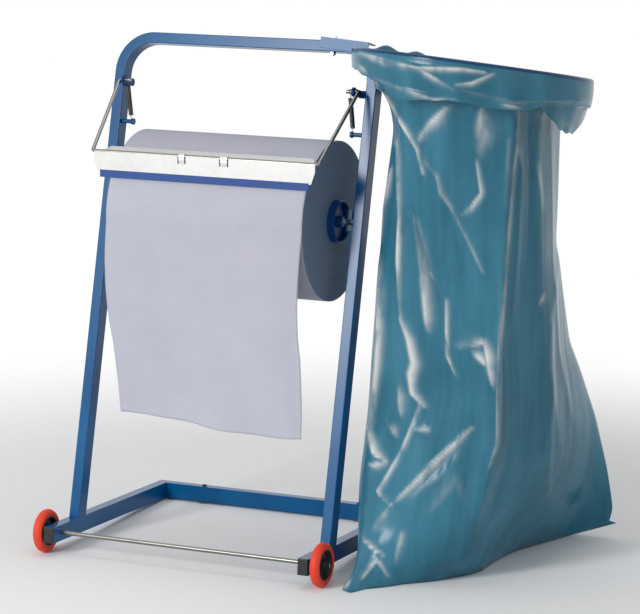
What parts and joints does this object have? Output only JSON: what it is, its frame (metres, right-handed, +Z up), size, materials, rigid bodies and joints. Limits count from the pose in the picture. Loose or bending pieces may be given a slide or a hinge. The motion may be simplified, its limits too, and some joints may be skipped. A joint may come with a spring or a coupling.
{
  "type": "mobile wiping-paper roll stand with waste-bag holder",
  "caption": "Wheeled steel floor stand that carries a wide paper roll under a swinging tear-off bar, with a ring at its side for a hanging waste bag.",
  "frame": {"origin": "on the floor, midway between the two front wheels' contact points", "axes": "+Z up, +X to the user's right, along the wheel axle and the roll, +Y to the back"},
  "size_m": [1.0036, 0.5357, 0.9497],
  "materials": {
    "frame_paint": "gloss powder coat",
    "black_plastic": "moulded, satin",
    "blue_plastic": "moulded, gloss",
    "red_rubber": "matt",
    "grey_rubber": "matt",
    "bare_steel": "drawn wire",
    "zinc": "bright zinc plate",
    "spring_steel": "oiled black",
    "paper": "tissue, fine emboss",
    "card": "plain",
    "bag_film": "thin film, gloss, translucent"
  },
  "bodies": {
    "stand": {"upper_frame": "frame_paint", "base_frame": "frame_paint", "left_roll_bracket": "frame_paint", "right_roll_bracket": "frame_paint", "left_spring_pin": "frame_paint", "right_spring_pin": "frame_paint", "bag_holder": "frame_paint", "left_end_cap": "black_plastic", "right_end_cap": "black_plastic", "left_pivot_eye": "black_plastic", "right_pivot_eye": "black_plastic", "left_glide_screw": "black_plastic", "right_glide_screw": "black_plastic", "left_axle_cap": "black_plastic", "right_axle_cap": "black_plastic", "left_glide": "grey_rubber", "right_glide": "grey_rubber", "roll_rod": "bare_steel", "wheel_axle": "bare_steel", "holder_bolt": "zinc", "holder_nut": "zinc", "holder_washer": "zinc", "left_wheel_washer": "zinc", "right_wheel_washer": "zinc", "left_spring": "spring_steel", "right_spring": "spring_steel", "paper_sheet": "paper", "waste_bag": "bag_film"},
    "left_wheel": {"left_wheel_tyre": "red_rubber", "left_wheel_hub": "black_plastic"},
    "right_wheel": {"right_wheel_tyre": "red_rubber", "right_wheel_hub": "black_plastic"},
    "roll": {"paper_roll": "paper", "roll_core": "card", "left_roll_hub": "blue_plastic", "right_roll_hub": "blue_plastic"},
    "tear_bar": {"tear_bow": "bare_steel", "tear_plate": "zinc", "tear_edge_strip": "blue_plastic"}
  },
  "joints": [
    {"name": "left_wheel_spin", "type": "hinge", "parent": "stand", "child": "left_wheel", "pos_m": [-0.278, 0, 0.04], "axis": [1, 0, 0], "continuous": true},
    {"name": "right_wheel_spin", "type": "hinge", "parent": "stand", "child": "right_wheel", "pos_m": [0.278, 0, 0.04], "axis": [1, 0, 0], "continuous": true},
    {"name": "roll_spin", "type": "hinge", "parent": "stand", "child": "roll", "pos_m": [0.007, 0.2305, 0.615], "axis": [1, 0, 0], "continuous": true},
    {"name": "tear_bar_swing", "type": "hinge", "parent": "stand", "child": "tear_bar", "pos_m": [0, 0.244, 0.85], "axis": [-1, 0, 0], "range_deg": [0, 70]}
  ]
}
